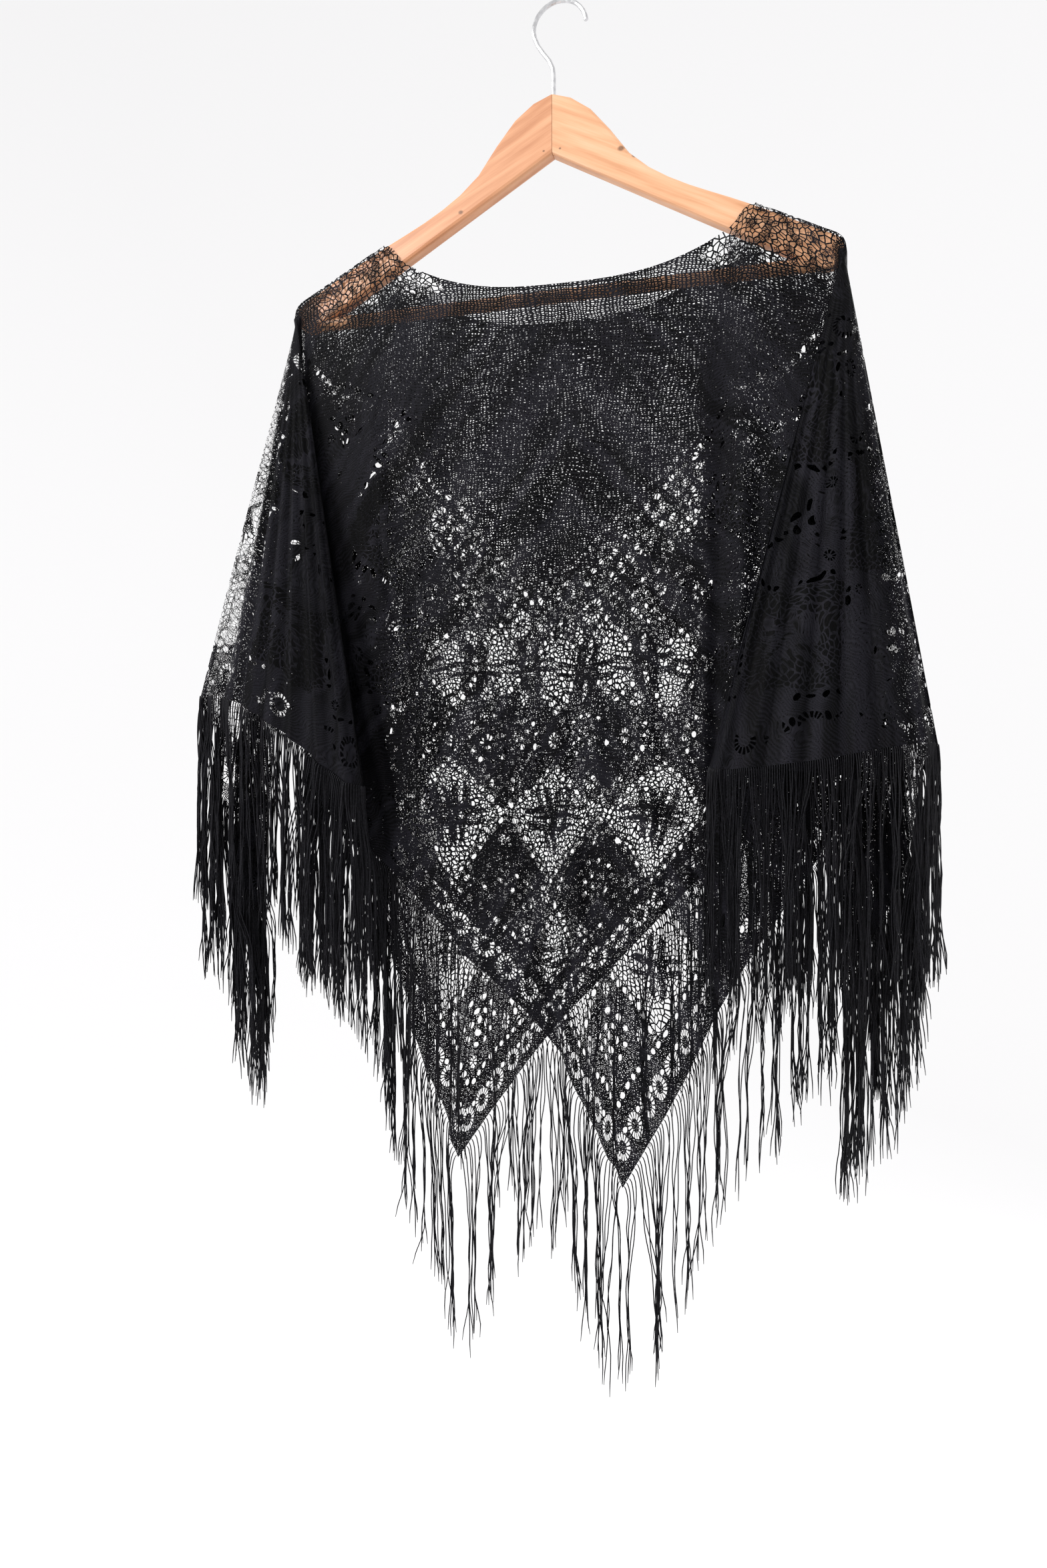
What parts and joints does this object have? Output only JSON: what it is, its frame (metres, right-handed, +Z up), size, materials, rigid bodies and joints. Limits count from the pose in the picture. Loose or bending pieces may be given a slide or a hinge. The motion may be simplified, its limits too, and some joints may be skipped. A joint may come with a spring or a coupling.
{
  "type": "fringed lace poncho on a wooden hanger",
  "caption": "Black lace poncho with a long fringe, hung by its wide boat neck on a wooden suit hanger with a trouser bar and a steel hook.",
  "frame": {"origin": "inside of the top of the hanger's hook, where it rests on a rail or a wall hook", "axes": "+Z up; -Y out of the garment's front; X along the hanger"},
  "size_m": [0.5692, 0.1458, 1.0753],
  "materials": {
    "lace": "matt black lace",
    "thread": "matt black twisted thread",
    "wood": "clear satin varnish over pale wood",
    "steel": "bright plated wire"
  },
  "bodies": {
    "root": {"poncho_front": "lace", "poncho_back": "lace", "fringe_front_left": "thread", "fringe_front_right": "thread", "fringe_back_left": "thread", "fringe_back_right": "thread", "hanger_arm_left": "wood", "hanger_arm_right": "wood", "trouser_bar": "wood", "hanger_hook": "steel"}
  },
  "joints": []
}
